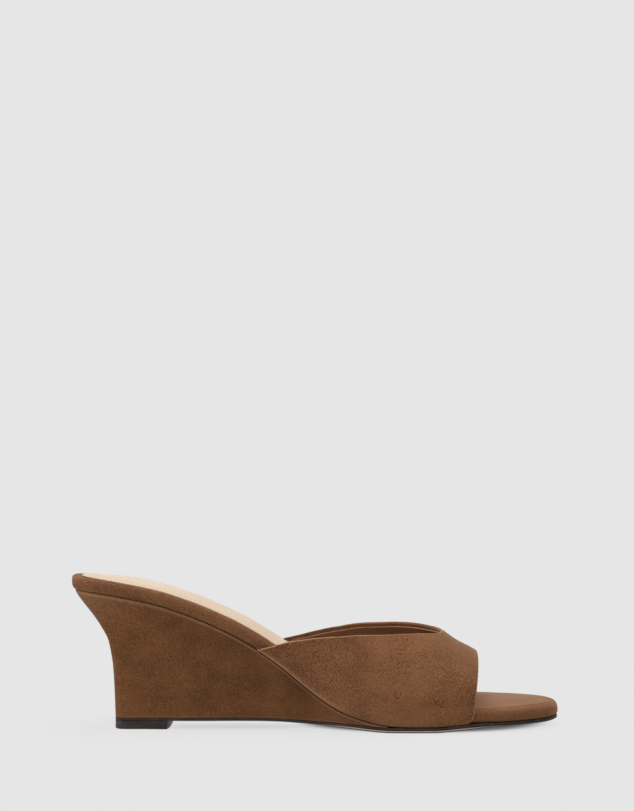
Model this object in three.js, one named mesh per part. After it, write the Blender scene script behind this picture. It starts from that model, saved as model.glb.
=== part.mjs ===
// Wedge mule: an open-toed slip-on shoe for the right foot, with a covered wedge and a wide band upper.
// Millimetres. X runs from heel to toe, Y from the outer side of the foot to the inner side, Z up.
import * as THREE from 'three';

// Driving sizes
const LENGTH = 236.4; // back of the heel to the tip of the toe, along the floor
const BALL_WIDTH = 76; // footbed across the ball of the foot
const SEAT_WIDTH = 58; // footbed across the heel seat
const SEAT_RISE = 61; // from the outsole up to the footbed, at the back of the heel
const FOOTBED = 6.5; // wrapped insole board, square to its face
const SEAT_DISH = 1; // hollow of the footbed at the heel
const TOE_CROWN = 1.2; // swell of the footbed at the toes
const SOCK = 0.8; // lining laid on the footbed
const SOCK_MARGIN = 0.5; // bare rim of the footbed's flat top around the lining
const SOCK_SETBACK = 2.6; // more of the rim left bare at the back of the heel
const WALL = 2.2; // suede and lining of the upper together
const INSTEP_RISE = 62; // ridge of the last over the seam, at the instep
const TOPLINE_RISE = 43.2; // tallest point of the upper's back edge over the seam
const BELT = 9; // level over the seam where the upper is widest
const TUCK = 1.2; // how far the upper pulls in under the footbed's bulge
const EDGE_SWELL = 0.9; // how far the upper stands out over its lower edge, at the shank
const SWELL_SKEW = 0.55; // 1 puts that swell halfway up the belt, less puts it lower
const CREST_SHIFT = 4; // ridge of the last, towards the inner side
const BASE_WIDTH = 46; // foot of the wedge at the heel
const BASE_SETBACK = 21.7; // foot of the wedge, in front of the back of the heel
const SEAT_OVERHANG = 2.4; // footbed past the top of the wedge, at the back
const SEAT_LEDGE = 0.8; // footbed past the top of the wedge, at the sides
const FEATHER = 1; // thinnest end of the wedge, at the ball
const OUTSOLE = 2.6; // outsole at the ball
const BEVEL = 0.9; // slanted lower edge of the outsole
const TOE_SPRING = 2.8; // underside of the toe over the floor
const TAP_THICK = 3.7; // heel tap
const TAP_LENGTH = 27.2;
const HEEL_ROUND = 33; // length of the round back of the footbed
const BASE_ROUND = 12; // length of the squared back of the foot of the wedge
const TOE_ROUND = 42; // length of the rounded toe
const GAP = 0.3; // glue line between two pieces

const HEEL = -LENGTH / 2;
const TOE = LENGTH / 2;
const HEEL_POWER = 2.15; // superellipse of the heel: 2 is a circle
const TOE_POWER = 2.5; // squarer than the heel
const BASE_POWER = 6; // nearly square corners
const ARCH_POWER = 2.4; // cross-section of the last above its widest level
const LATERAL = -1;
const MEDIAL = 1;
const FINE_STEPS = 500; // a slope is measured over one such step to each side

// Every table runs along the shoe: at is a share of LENGTH from the back of the heel

// Footbed seen from above: half-widths as shares of the size named in the row
const PLAN = [
  { at: 0, lateral: 0.504, medial: 0.496, of: SEAT_WIDTH },
  { at: 0.13, lateral: 0.505, medial: 0.495, of: SEAT_WIDTH },
  { at: 0.245, lateral: 0.498, medial: 0.47, of: SEAT_WIDTH },
  { at: 0.375, lateral: 0.512, medial: 0.453, of: SEAT_WIDTH },
  { at: 0.5, lateral: 0.443, medial: 0.385, of: BALL_WIDTH },
  { at: 0.6, lateral: 0.488, medial: 0.45, of: BALL_WIDTH },
  { at: 0.69, lateral: 0.5, medial: 0.5, of: BALL_WIDTH },
  { at: 0.765, lateral: 0.496, medial: 0.496, of: BALL_WIDTH },
  { at: 0.84, lateral: 0.472, medial: 0.468, of: BALL_WIDTH },
  { at: 0.92, lateral: 0.437, medial: 0.408, of: BALL_WIDTH },
  { at: 1, lateral: 0.392, medial: 0.345, of: BALL_WIDTH },
].map((row) => ({ at: row.at, lateral: row.lateral * row.of, medial: row.medial * row.of }));

// Underside of the outsole as shares of the heel's lift and of the toe spring, and its thickness
const GROUND = [
  { at: 0, heel: 1, toe: 0, thick: 0.42 },
  { at: 0.204, heel: 1, toe: 0, thick: 0.44 },
  { at: 0.267, heel: 1.02, toe: 0, thick: 0.5 },
  { at: 0.348, heel: 1.1, toe: 0, thick: 0.54 },
  { at: 0.428, heel: 1.12, toe: 0, thick: 0.54 },
  { at: 0.47, heel: 1.02, toe: 0, thick: 0.58 },
  { at: 0.51, heel: 0.84, toe: 0, thick: 0.66 },
  { at: 0.551, heel: 0.6, toe: 0, thick: 0.81 },
  { at: 0.589, heel: 0.33, toe: 0, thick: 0.97 },
  { at: 0.631, heel: 0.06, toe: 0, thick: 1.02 },
  { at: 0.657, heel: 0, toe: 0, thick: 1 },
  { at: 0.737, heel: 0, toe: 0, thick: 1 },
  { at: 0.771, heel: 0, toe: 0.2, thick: 1 },
  { at: 0.805, heel: 0, toe: 0.46, thick: 0.99 },
  { at: 0.838, heel: 0, toe: 0.68, thick: 0.92 },
  { at: 0.923, heel: 0, toe: 0.9, thick: 0.81 },
  { at: 1, heel: 0, toe: 1, thick: 0.74 },
];

// Footbed over the outsole, as a share of SEAT_RISE: the seat, the steep shank and the flat tread
const SHANK = [
  { at: 0, rise: 1 },
  { at: 0.06, rise: 0.977 },
  { at: 0.119, rise: 0.941 },
  { at: 0.183, rise: 0.886 },
  { at: 0.246, rise: 0.802 },
  { at: 0.31, rise: 0.692 },
  { at: 0.373, rise: 0.557 },
  { at: 0.437, rise: 0.387 },
  { at: 0.483, rise: 0.24 },
  { at: 0.521, rise: 0.128 },
  { at: 0.559, rise: 0.055 },
  { at: 0.602, rise: 0.018 },
  { at: 0.66, rise: 0 },
];

// How far the outsole has spread from the foot of the wedge to the full tread
const SPREAD = [
  { at: 0.16, full: 0 },
  { at: 0.267, full: 0.38 },
  { at: 0.348, full: 0.76 },
  { at: 0.428, full: 0.93 },
  { at: 0.54, full: 1 },
];

// Back and sides of the wedge: at is the share of its height, out the share of its flare
const FLARE = [
  { at: 0, out: 0 },
  { at: 0.23, out: 0.026 },
  { at: 0.43, out: 0.068 },
  { at: 0.53, out: 0.115 },
  { at: 0.63, out: 0.204 },
  { at: 0.72, out: 0.37 },
  { at: 0.81, out: 0.59 },
  { at: 0.91, out: 0.86 },
  { at: 0.96, out: 0.965 },
  { at: 1, out: 1 },
];

// Edge of the footbed from bottom to top: at is the share of FOOTBED upwards, the others go inwards
const ROLL = [
  { at: 0, heel: 0.34, toe: 0.14 },
  { at: 0.15, heel: 0.17, toe: 0.04 },
  { at: 0.35, heel: 0.06, toe: 0 },
  { at: 0.6, heel: 0, toe: 0.03 },
  { at: 0.78, heel: 0.04, toe: 0.11 },
  { at: 0.91, heel: 0.14, toe: 0.25 },
  { at: 1, heel: 0.33, toe: 0.5 },
];

const BED_BULGE = 0.6; // level of the footbed's widest point, as a share of FOOTBED

// Ridge of the last over the seam, as a share of INSTEP_RISE
const RIDGE = [
  { at: 0.36, ridge: 1.08 },
  { at: 0.46, ridge: 1.05 },
  { at: 0.551, ridge: 0.99 },
  { at: 0.631, ridge: 0.94 },
  { at: 0.673, ridge: 0.881 },
  { at: 0.711, ridge: 0.802 },
  { at: 0.735, ridge: 0.742 },
  { at: 0.757, ridge: 0.686 },
  { at: 0.778, ridge: 0.628 },
  { at: 0.794, ridge: 0.581 },
  { at: 0.808, ridge: 0.548 },
  { at: 0.819, ridge: 0.524 },
  { at: 0.836, ridge: 0.484 },
];

// Back edge of the upper over the seam, as shares of TOPLINE_RISE
const TOPLINE = [
  { at: 0.383, lateral: 0, medial: -0.04 },
  { at: 0.423, lateral: 0.211, medial: 0.12 },
  { at: 0.45, lateral: 0.347, medial: 0.265 },
  { at: 0.48, lateral: 0.523, medial: 0.46 },
  { at: 0.51, lateral: 0.685, medial: 0.64 },
  { at: 0.551, lateral: 0.831, medial: 0.822 },
  { at: 0.591, lateral: 0.919, medial: 0.935 },
  { at: 0.631, lateral: 0.975, medial: 0.988 },
  { at: 0.673, lateral: 0.998, medial: 1.004 },
  { at: 0.711, lateral: 0.998, medial: 0.998 },
  { at: 0.735, lateral: 0.986, medial: 0.986 },
  { at: 0.764, lateral: 0.961, medial: 0.961 },
];

// Front edge of the upper: at is the share of the way up from the seam to the ridge
const TOE_OPENING = [
  { at: 0, forward: 0.808 },
  { at: 0.05, forward: 0.815 },
  { at: 0.22, forward: 0.8205 },
  { at: 0.45, forward: 0.8265 },
  { at: 0.7, forward: 0.8315 },
  { at: 1, forward: 0.8355 },
];

// Curve through one column of a table, with no overshoot between its rows
function follow(rows, column) {
  const slope = rows.slice(1).map((row, i) => (row[column] - rows[i][column]) / (row.at - rows[i].at));
  const tangent = rows.map((row, i) => {
    if (i === 0 || i === rows.length - 1) return slope[Math.min(i, slope.length - 1)];
    if (slope[i - 1] * slope[i] <= 0) return 0;
    const before = row.at - rows[i - 1].at;
    const after = rows[i + 1].at - row.at;
    const first = 2 * after + before;
    const second = after + 2 * before;
    return (first + second) / (first / slope[i - 1] + second / slope[i]);
  });
  return (place) => {
    const at = THREE.MathUtils.clamp(place, rows[0].at, rows[rows.length - 1].at);
    const i = Math.min(rows.filter((row) => row.at <= at).length, rows.length - 1) - 1;
    const span = rows[i + 1].at - rows[i].at;
    const t = (at - rows[i].at) / span;
    const rest = 1 - t;
    const low = rest * rest * ((1 + 2 * t) * rows[i][column] + t * span * tangent[i]);
    const high = t * t * ((3 - 2 * t) * rows[i + 1][column] - rest * span * tangent[i + 1]);
    return low + high;
  };
}

// The same curve read at a place along the shoe
function alongShoe(rows, column) {
  const curve = follow(rows, column);
  return (x) => curve((x - HEEL) / LENGTH);
}

// Last place between two others where a test still holds, by halving
function search(back, front, holds, halvings = 40) {
  if (halvings === 0) return back;
  const middle = (back + front) / 2;
  return holds(middle) ? search(middle, front, holds, halvings - 1) : search(back, middle, holds, halvings - 1);
}

const { lerp, smoothstep } = THREE.MathUtils;
const planHalf = { [LATERAL]: alongShoe(PLAN, 'lateral'), [MEDIAL]: alongShoe(PLAN, 'medial') };
const heelLift = alongShoe(GROUND, 'heel');
const toeLift = alongShoe(GROUND, 'toe');
const outsoleShare = alongShoe(GROUND, 'thick');
const shank = alongShoe(SHANK, 'rise');
const spread = alongShoe(SPREAD, 'full');
const flare = follow(FLARE, 'out');
const ridgeShare = alongShoe(RIDGE, 'ridge');
const topline = { [LATERAL]: alongShoe(TOPLINE, 'lateral'), [MEDIAL]: alongShoe(TOPLINE, 'medial') };
const opening = follow(TOE_OPENING, 'forward');

// Heights along the shoe, from the floor up
const outsoleBottom = (x) => (TAP_THICK + GAP) * heelLift(x) + TOE_SPRING * toeLift(x);
const outsoleTop = (x) => outsoleBottom(x) + OUTSOLE * outsoleShare(x);
const seam = (x) => outsoleTop(x) + GAP + SEAT_RISE * shank(x);

// Upright height of one millimetre measured square to the sloping footbed
function steepness(x) {
  const step = LENGTH / FINE_STEPS;
  const back = Math.max(x - step, HEEL);
  const front = Math.min(x + step, TOE);
  return Math.hypot(1, (seam(front) - seam(back)) / (front - back));
}

// Where the upper covers the edge of the footbed: from its lower back corner to the toe opening
const TIP = HEEL + TOPLINE[0].at * LENGTH;
const FRONT = HEEL + TOE_OPENING[0].forward * LENGTH;
const COVER_FADE = LENGTH / 14;
const tipCover = (x) => smoothstep(x, TIP, TIP + COVER_FADE);
const covered = (x) => tipCover(x) * (1 - smoothstep(x, FRONT, FRONT + COVER_FADE));
const toeward = (x) => smoothstep(x, FRONT, FRONT + 1.5 * COVER_FADE);

const shankward = (x) => 1 - smoothstep(x, TIP + COVER_FADE, TIP + 4 * COVER_FADE);

// Sideways shift of the toe towards the big toe
const midline = (x) => CREST_SHIFT * smoothstep(x, FRONT - COVER_FADE, TOE + TOE_ROUND);

// Share of the full width inside a rounded end
function roundEnd(distance, length, power) {
  const short = THREE.MathUtils.clamp(1 - distance / length, 0, 1);
  return (1 - short ** power) ** (1 / power);
}

// A plan is an outline seen from above: two ends, each round or straight, and two half-widths
function plan({ back, front, half, heelRound = 0, toeRound = 0, heelPower = HEEL_POWER }) {
  const roundness = (x) => {
    const heel = heelRound > 0 ? roundEnd(x - back, heelRound, heelPower) : 1;
    const toe = toeRound > 0 ? roundEnd(front - x, toeRound, TOE_POWER) : 1;
    return heel * toe;
  };
  const width = (x, side, inset) => (half(x, side) - inset) * roundness(x);
  return (t, side, inset = 0) => {
    const x = lerp(back, front, t);
    const heelInset = heelRound > 0 ? inset : 0;
    const toeInset = toeRound > 0 ? inset : 0;
    return [lerp(back + heelInset, front - toeInset, t), midline(x) + side * width(x, side, inset)];
  };
}

// Shares of the length where a plan is cut into stations, closer together at a round end
const STATIONS_ALONG = 32;
const STATIONS_PER_END = 8;

function stations(length, heelRound, toeRound, pitch = LENGTH / STATIONS_ALONG) {
  const list = [];
  const turn = Math.PI / 2 / STATIONS_PER_END;
  const quarter = Array.from({ length: STATIONS_PER_END }, (_, i) => 1 - Math.cos(i * turn));
  const straight = length - heelRound - toeRound;
  const count = Math.max(1, Math.round(straight / pitch));
  if (heelRound > 0) quarter.forEach((share) => list.push((heelRound * share) / length));
  for (let i = 0; i <= count; i += 1) list.push((heelRound + (straight * i) / count) / length);
  if (toeRound > 0) quarter.reverse().forEach((share) => list.push(1 - (toeRound * share) / length));
  return list;
}

// Surface of triangles that share their corners
class Skin {
  constructor() {
    this.points = [];
    this.known = new Map();
    this.faces = [];
  }

  corner(point) {
    const key = point.map((value) => Math.round(value * 1e4)).join();
    if (!this.known.has(key)) {
      this.known.set(key, this.points.length / 3);
      this.points.push(...point);
    }
    return this.known.get(key);
  }

  triangle(a, b, c) {
    if (a !== b && b !== c && c !== a) this.faces.push(a, b, c);
  }

  quad(first, second, third, fourth) {
    const [a, b, c, d] = [first, second, third, fourth].map((point) => this.corner(point));
    this.triangle(a, b, c);
    this.triangle(a, c, d);
  }

  // Rows of points, facing out where the rows run along +X and the columns along +Y
  sheet(rows, flip = false) {
    for (let i = 0; i < rows.length - 1; i += 1) {
      for (let j = 0; j < rows[i].length - 1; j += 1) {
        const corners = [rows[i][j], rows[i + 1][j], rows[i + 1][j + 1], rows[i][j + 1]];
        this.quad(...(flip ? corners.reverse() : corners));
      }
    }
  }

  geometry() {
    const geometry = new THREE.BufferGeometry();
    geometry.setAttribute('position', new THREE.Float32BufferAttribute(this.points, 3));
    geometry.setIndex(this.faces);
    geometry.computeVertexNormals();
    return geometry;
  }
}

// Solid of stacked layers: place(t, side share, layer) gives a point, the end layers are filled in
function plate(place, layers, cuts, across = 4) {
  const skin = new Skin();
  const shares = Array.from({ length: across + 1 }, (_, j) => j / across);
  const inner = shares.slice(1, -1);
  const first = cuts[0];
  const last = cuts[cuts.length - 1];
  const border = [
    ...cuts.map((t) => [t, 0]),
    ...inner.map((share) => [last, share]),
    ...cuts.map((t) => [t, 1]).reverse(),
    ...inner.map((share) => [first, share]).reverse(),
  ];
  const ring = (layer) => [...border, border[0]].map(([t, share]) => place(t, share, layer));
  const filling = (layer) => cuts.map((t) => shares.map((share) => place(t, share, layer)));
  skin.sheet(layers.map(ring), true);
  skin.sheet(filling(layers[0]), true);
  skin.sheet(filling(layers[layers.length - 1]));
  return skin.geometry();
}

// Point of a plan at a share of the way across it, at a height; swell is 1 in the middle and 0 at the edge
function across(outline, t, share, inset, height) {
  const [x, lateralY] = outline(t, LATERAL, inset);
  const [, medialY] = outline(t, MEDIAL, inset);
  const fullness = (medialY - lateralY) / (planHalf[LATERAL](x) + planHalf[MEDIAL](x));
  const swell = 4 * share * (1 - share) * Math.min(1, fullness);
  return [x, lerp(lateralY, medialY, share), height(x, swell)];
}

// Plans of the footbed, the tread under it and the top of the wedge
const BASE_BACK = HEEL + BASE_SETBACK;
const SQUARED = { heelRound: BASE_ROUND, heelPower: BASE_POWER };
const coverLedge = WALL - GAP;
const bedHalf = (x, side) => planHalf[side](x);
const seatHalf = (x, side) => bedHalf(x, side) + lerp(-SEAT_LEDGE, coverLedge, tipCover(x));
const treadHalf = (x, side) => {
  const full = bedHalf(x, side) + lerp(-SEAT_LEDGE, coverLedge - GAP, covered(x));
  return lerp(BASE_WIDTH / 2, full, spread(x));
};
const rolled = (x, row) => FOOTBED * lerp(row.heel, row.toe, toeward(x));
const bedTop = (x, swell) => {
  const crown = lerp(-SEAT_DISH, TOE_CROWN, smoothstep(x, HEEL, TOE));
  return seam(x) + FOOTBED * steepness(x) + crown * swell;
};

// Footbed: insole board wrapped in suede, from the heel seat to the toes
function footbed() {
  const outline = plan({ back: HEEL, front: TOE, half: bedHalf, heelRound: HEEL_ROUND, toeRound: TOE_ROUND });
  const place = (t, share, row) => {
    const inset = rolled(lerp(HEEL, TOE, t), row);
    const height = (x, swell) => (row.at < 1 ? seam(x) + row.at * FOOTBED * steepness(x) : bedTop(x, swell));
    return across(outline, t, share, inset, height);
  };
  return plate(place, ROLL, stations(LENGTH, HEEL_ROUND, TOE_ROUND));
}

// Lining on the footbed between two places along the shoe
const SOCK_SPLIT = HEEL + 0.7 * LENGTH;

function sock(back, front) {
  const heelRound = back < SOCK_SPLIT ? HEEL_ROUND : 0;
  const toeRound = front >= TOE ? TOE_ROUND : 0;
  const outline = plan({ back, front, half: bedHalf, heelRound, toeRound });
  const top = ROLL[ROLL.length - 1];
  const place = (t, share, level) => {
    const inset = rolled(lerp(back, front, t), top) + SOCK_MARGIN;
    const height = (x, swell) => bedTop(x, swell) + (GAP + level * SOCK) * steepness(x);
    return across(outline, t, share, inset, height);
  };
  return plate(place, [0, 1], stations(front - back, heelRound, toeRound));
}

// Place where the wedge has thinned to its feather
const wedgeFront = () => search(BASE_BACK, TOE, (x) => SEAT_RISE * shank(x) - GAP > FEATHER);

// Wedge: from the outsole up to the footbed, flaring to the seat and running out to a feather at the ball
const WEDGE_LEVELS = [0, 0.25, 0.45, 0.58, 0.68, 0.77, 0.85, 0.92, 0.97, 1];

function wedge() {
  const front = wedgeFront();
  const seatBack = HEEL + SEAT_OVERHANG;
  const foot = plan({ back: BASE_BACK, front, half: treadHalf, ...SQUARED });
  const seat = plan({ back: seatBack, front, half: seatHalf, heelRound: HEEL_ROUND });
  const cuts = stations(1, 0, 0, 1 / STATIONS_ALONG).map((t) => t * t * (2 - t));
  const place = (t, share, level) => {
    const low = across(foot, t, share, 0, () => 0);
    const high = across(seat, t, share, 0, () => 0);
    const x = lerp(low[0], high[0], flare(level));
    const y = lerp(low[1], high[1], flare(level));
    return [x, y, lerp(outsoleTop(x) + GAP, seam(x) - GAP, level)];
  };
  return plate(place, WEDGE_LEVELS, cuts, 2);
}

// Outsole: one thin sole under the wedge and the forefoot, bevelled below
function outsole() {
  const front = TOE - GAP;
  const half = (x, side) => treadHalf(x, side) - GAP * toeward(x);
  const outline = plan({ back: BASE_BACK, front, half, ...SQUARED, toeRound: TOE_ROUND });
  const layers = [
    { level: 0, inset: BEVEL },
    { level: 0.4, inset: 0.17 * BEVEL },
    { level: 0.7, inset: 0 },
    { level: 1, inset: 0 },
  ];
  const place = (t, share, layer) => {
    const height = (x) => lerp(outsoleBottom(x), outsoleTop(x), layer.level);
    return across(outline, t, share, layer.inset, height);
  };
  return plate(place, layers, stations(front - BASE_BACK, BASE_ROUND, TOE_ROUND));
}

// Heel tap: hard wearing piece under the foot of the wedge, straight across its front
function heelTap() {
  const outline = plan({ back: BASE_BACK, front: BASE_BACK + TAP_LENGTH, half: treadHalf, ...SQUARED });
  const place = (t, share, level) => across(outline, t, share, 0, () => level * TAP_THICK);
  return plate(place, [0, 1], stations(TAP_LENGTH, BASE_ROUND, 0), 1);
}

// Outer face of the upper: turn goes from 0 at the lateral seam over 1 at the ridge to 2 at the medial seam
const LOW_TURN = 0.2;

function lastFace(x, turn) {
  const side = turn <= 1 ? LATERAL : MEDIAL;
  const climb = turn <= 1 ? turn : 2 - turn;
  const half = bedHalf(x, side) + GAP + WALL;
  const ridge = INSTEP_RISE * ridgeShare(x);
  if (climb < LOW_TURN) {
    const height = (BELT * climb) / LOW_TURN;
    const under = Math.max(0, 1 - height / (BED_BULGE * FOOTBED * steepness(x)));
    const swell = EDGE_SWELL * shankward(x) * Math.sin(Math.PI * (climb / LOW_TURN) ** SWELL_SKEW) ** 2;
    return [x, midline(x) + side * (half + swell - TUCK * under ** 2), seam(x) + height];
  }
  const angle = ((climb - LOW_TURN) / (1 - LOW_TURN)) * (Math.PI / 2);
  const out = Math.max(0, Math.cos(angle)) ** (2 / ARCH_POWER);
  const up = Math.sin(angle) ** (2 / ARCH_POWER);
  const y = midline(x) + side * half * out + CREST_SHIFT * (1 - out);
  return [x, y, seam(x) + lerp(BELT, ridge, up)];
}

// Where the back edge of the upper crosses a line along the last
function toplineAt(turn) {
  const side = turn <= 1 ? LATERAL : MEDIAL;
  return search(TIP, FRONT, (x) => lastFace(x, turn)[2] - seam(x) > TOPLINE_RISE * topline[side](x));
}

function openingAt(turn) {
  const climb = turn <= 1 ? turn : 2 - turn;
  return HEEL + opening(climb) * LENGTH;
}

// Inward direction of the last at a point of its face
function inward(x, turn) {
  const along = LENGTH / FINE_STEPS;
  const around = 1 / FINE_STEPS;
  const from = new THREE.Vector3(...lastFace(x - along, turn));
  const to = new THREE.Vector3(...lastFace(x + along, turn));
  const low = new THREE.Vector3(...lastFace(x, Math.max(turn - around, 0)));
  const high = new THREE.Vector3(...lastFace(x, Math.min(turn + around, 2)));
  return high.sub(low).cross(to.sub(from)).normalize();
}

// Upper: one hollow wall over the forefoot, open at the instep, the toes and underneath
function upper() {
  const skin = new Skin();
  const lowShares = [0, 0.1, 0.24, 0.42, 0.7];
  const archTurns = 14;
  const rows = 26;
  const climb = [
    ...lowShares.map((share) => LOW_TURN * share),
    ...Array.from({ length: archTurns }, (_, i) => lerp(LOW_TURN, 1, i / archTurns)),
  ];
  const turns = [...climb, 1, ...climb.map((turn) => 2 - turn).reverse()];
  const edges = turns.map((turn) => [toplineAt(turn), openingAt(turn)]);
  const outer = [];
  const inner = [];
  for (let i = 0; i <= rows; i += 1) {
    const face = turns.map((turn, j) => lastFace(lerp(...edges[j], i / rows), turn));
    outer.push(face);
    inner.push(face.map((point, j) => {
      const normal = inward(point[0], turns[j]);
      return point.map((value, axis) => value + WALL * normal.getComponent(axis));
    }));
  }
  skin.sheet(outer);
  skin.sheet(inner, true);
  skin.sheet([inner[0], outer[0]]);
  skin.sheet([outer[rows], inner[rows]]);
  const side = (column) => outer.map((row, i) => [row[column], inner[i][column]]);
  skin.sheet(side(0), true);
  skin.sheet(side(turns.length - 1));
  return skin.geometry();
}

// Colours
const SUEDE = { color: 0x6b4a31, roughness: 0.95, metalness: 0 };
const SOCK_LEATHER = { color: 0xe6d2b8, roughness: 0.6, metalness: 0 };
const SOLE_RUBBER = { color: 0x2a2422, roughness: 0.6, metalness: 0 };

const shoe = new THREE.Group();

function add(name, geometry, finish) {
  const piece = new THREE.Mesh(geometry, new THREE.MeshStandardMaterial(finish));
  piece.name = name;
  shoe.add(piece);
}

add('heel_tap', heelTap(), SOLE_RUBBER);
add('outsole', outsole(), SOLE_RUBBER);
add('wedge', wedge(), SUEDE);
add('footbed', footbed(), SUEDE);
add('heel_sock', sock(HEEL + SOCK_SETBACK, SOCK_SPLIT), SOCK_LEATHER);
add('toe_sock', sock(SOCK_SPLIT + GAP, TOE), SUEDE);
add('upper', upper(), SUEDE);

// The middle of the shoe stands over the origin
const middle = new THREE.Box3().setFromObject(shoe).getCenter(new THREE.Vector3());
shoe.position.set(-middle.x, -middle.y, 0);

export default shoe;
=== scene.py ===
"""Wedge mule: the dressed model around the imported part. Lengths are millimetres until a mesh is made."""

import math

import bmesh
import bpy
import numpy as np
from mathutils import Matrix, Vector


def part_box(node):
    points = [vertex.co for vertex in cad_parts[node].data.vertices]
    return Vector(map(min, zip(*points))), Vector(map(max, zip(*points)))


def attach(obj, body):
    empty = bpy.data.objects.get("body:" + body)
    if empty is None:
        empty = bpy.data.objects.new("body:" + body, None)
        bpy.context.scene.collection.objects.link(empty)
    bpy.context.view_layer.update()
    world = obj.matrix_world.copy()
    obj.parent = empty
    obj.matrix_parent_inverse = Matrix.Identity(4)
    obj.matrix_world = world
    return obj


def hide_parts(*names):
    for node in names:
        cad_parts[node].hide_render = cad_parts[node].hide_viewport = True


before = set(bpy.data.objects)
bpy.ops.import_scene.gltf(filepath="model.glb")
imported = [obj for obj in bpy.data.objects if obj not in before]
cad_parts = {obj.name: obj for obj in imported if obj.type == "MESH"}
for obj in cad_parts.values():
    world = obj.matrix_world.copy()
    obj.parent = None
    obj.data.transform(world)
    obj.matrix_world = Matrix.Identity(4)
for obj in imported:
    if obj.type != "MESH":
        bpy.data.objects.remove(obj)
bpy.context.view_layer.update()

MM = 0.001
IMAGE_WIDTH = 634
IMAGE_HEIGHT = 811

# Places along the shoe, from the boxes of two solids
BED_LOW, BED_HIGH = (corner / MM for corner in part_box("footbed"))
TAP_LOW, TAP_HIGH = (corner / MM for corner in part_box("heel_tap"))
HEEL = BED_LOW.x
TOE = BED_HIGH.x
LENGTH = TOE - HEEL
TAP_FRONT = TAP_HIGH.x
TAP_THICK = TAP_HIGH.z
BACK_TRIM = 0.5  # foot of the wedge in front of the back of the tap's solid
BASE_BACK = TAP_LOW.x + BACK_TRIM

# Sizes of the shoe
BALL_WIDTH = BED_HIGH.y - BED_LOW.y  # footbed across the ball of the foot
SEAT_WIDTH = 58.0  # footbed across the heel seat
SEAT_RISE = 61.0  # from the outsole up to the footbed, at the back of the heel
SEAT_DISH = 1.0  # hollow of the footbed at the heel
SEAT_LEAN = 0.65  # drop of the footbed's inner edge along the shank
HEEL_LEAN = 1.25  # the same at the back of the heel
HEEL_LEAN_FADE = 20.0  # distance from the back of the heel over which it eases to the shank's
FOOTBED = 6.5  # wrapped insole board, square to its face
BED_BULGE = 0.6  # lower share of the footbed's edge that the upper tucks in under
TOE_CROWN = 1.2  # swell of the footbed at the toes
HEEL_ROUND = 33.0  # length of the round back of the footbed
TOE_ROUND = 42.0  # length of the rounded toe
HEEL_POWER = 2.15  # superellipse of the heel: 2 is a circle
TOE_POWER = 2.5  # squarer than the heel
SOCK_SETBACK = 3.4  # bare rim of the footbed behind the lining
WALL = 2.2  # suede and lining of the upper together
INSTEP_RISE = 62.0  # ridge of the last over the seam, at the instep
TOPLINE_RISE = 43.2  # tallest point of the upper's back edge over the seam
ARCH_POWER = 2.4  # cross-section of the last above its widest level
CREST_SHIFT = 4.0  # ridge of the last, towards the inner side
BELT = 9.0  # level over the seam where the upper is widest
TUCK = 1.2  # how far the upper pulls in under the footbed's bulge
EDGE_SWELL = 0.9  # how far the upper stands out over its lower edge, at the shank
SWELL_SKEW = 0.55  # 1 puts that swell halfway up the belt, less puts it lower
BASE_WIDTH = 46.0  # foot of the wedge at the heel
BASE_ROUND = 12.0  # length of the squared back of the foot of the wedge
BASE_POWER = 6.0  # nearly square corners
SEAT_OVERHANG = 1.7  # footbed past the top of the wedge, at the back
SEAT_LEDGE = 0.2  # footbed past the top of the wedge, at the sides
WIDEN_BACK = 6.0  # the top of the wedge starts to widen this far behind the tip of the upper
WIDEN_FRONT = 10.0  # and is as wide as the upper this far in front of it
OUTSOLE = 2.6  # outsole at the ball
TOE_SPRING = 2.8  # underside of the toe over the floor
GAP = 0.3  # glue line between two pieces
FINE_STEPS = 500  # a slope is measured over one such step to each side
LATERAL = -1
MEDIAL = 1


def table(columns, *rows):
    """Rows of numbers under named columns. The column called at says where a row stands."""
    return {name: np.array(values, float) for name, values in zip(columns.split(), zip(*rows))}


# Here at is a share of LENGTH from the back of the heel

# Footbed seen from above: half-widths
PLAN = table(
    "at lateral medial",
    (0, 0.504 * SEAT_WIDTH, 0.496 * SEAT_WIDTH),
    (0.13, 0.505 * SEAT_WIDTH, 0.495 * SEAT_WIDTH),
    (0.245, 0.498 * SEAT_WIDTH, 0.47 * SEAT_WIDTH),
    (0.375, 0.512 * SEAT_WIDTH, 0.453 * SEAT_WIDTH),
    (0.5, 0.443 * BALL_WIDTH, 0.385 * BALL_WIDTH),
    (0.6, 0.488 * BALL_WIDTH, 0.45 * BALL_WIDTH),
    (0.69, 0.5 * BALL_WIDTH, 0.5 * BALL_WIDTH),
    (0.765, 0.496 * BALL_WIDTH, 0.496 * BALL_WIDTH),
    (0.84, 0.472 * BALL_WIDTH, 0.468 * BALL_WIDTH),
    (0.92, 0.437 * BALL_WIDTH, 0.408 * BALL_WIDTH),
    (1, 0.392 * BALL_WIDTH, 0.345 * BALL_WIDTH),
)

# Outsole: rise of its underside over the tap and at the toe, and its thickness, as shares of those sizes
GROUND = table(
    "at heel toe thick",
    (0, 1, 0, 0.42),
    (0.204, 1, 0, 0.44),
    (0.267, 1.02, 0, 0.5),
    (0.348, 1.1, 0, 0.54),
    (0.428, 1.12, 0, 0.54),
    (0.47, 1.02, 0, 0.58),
    (0.51, 0.84, 0, 0.66),
    (0.551, 0.6, 0, 0.81),
    (0.589, 0.33, 0, 0.97),
    (0.631, 0.06, 0, 1.02),
    (0.657, 0, 0, 1),
    (0.737, 0, 0, 1),
    (0.771, 0, 0.2, 1),
    (0.805, 0, 0.46, 0.99),
    (0.838, 0, 0.68, 0.92),
    (0.923, 0, 0.9, 0.81),
    (1, 0, 1, 0.74),
)

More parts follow.
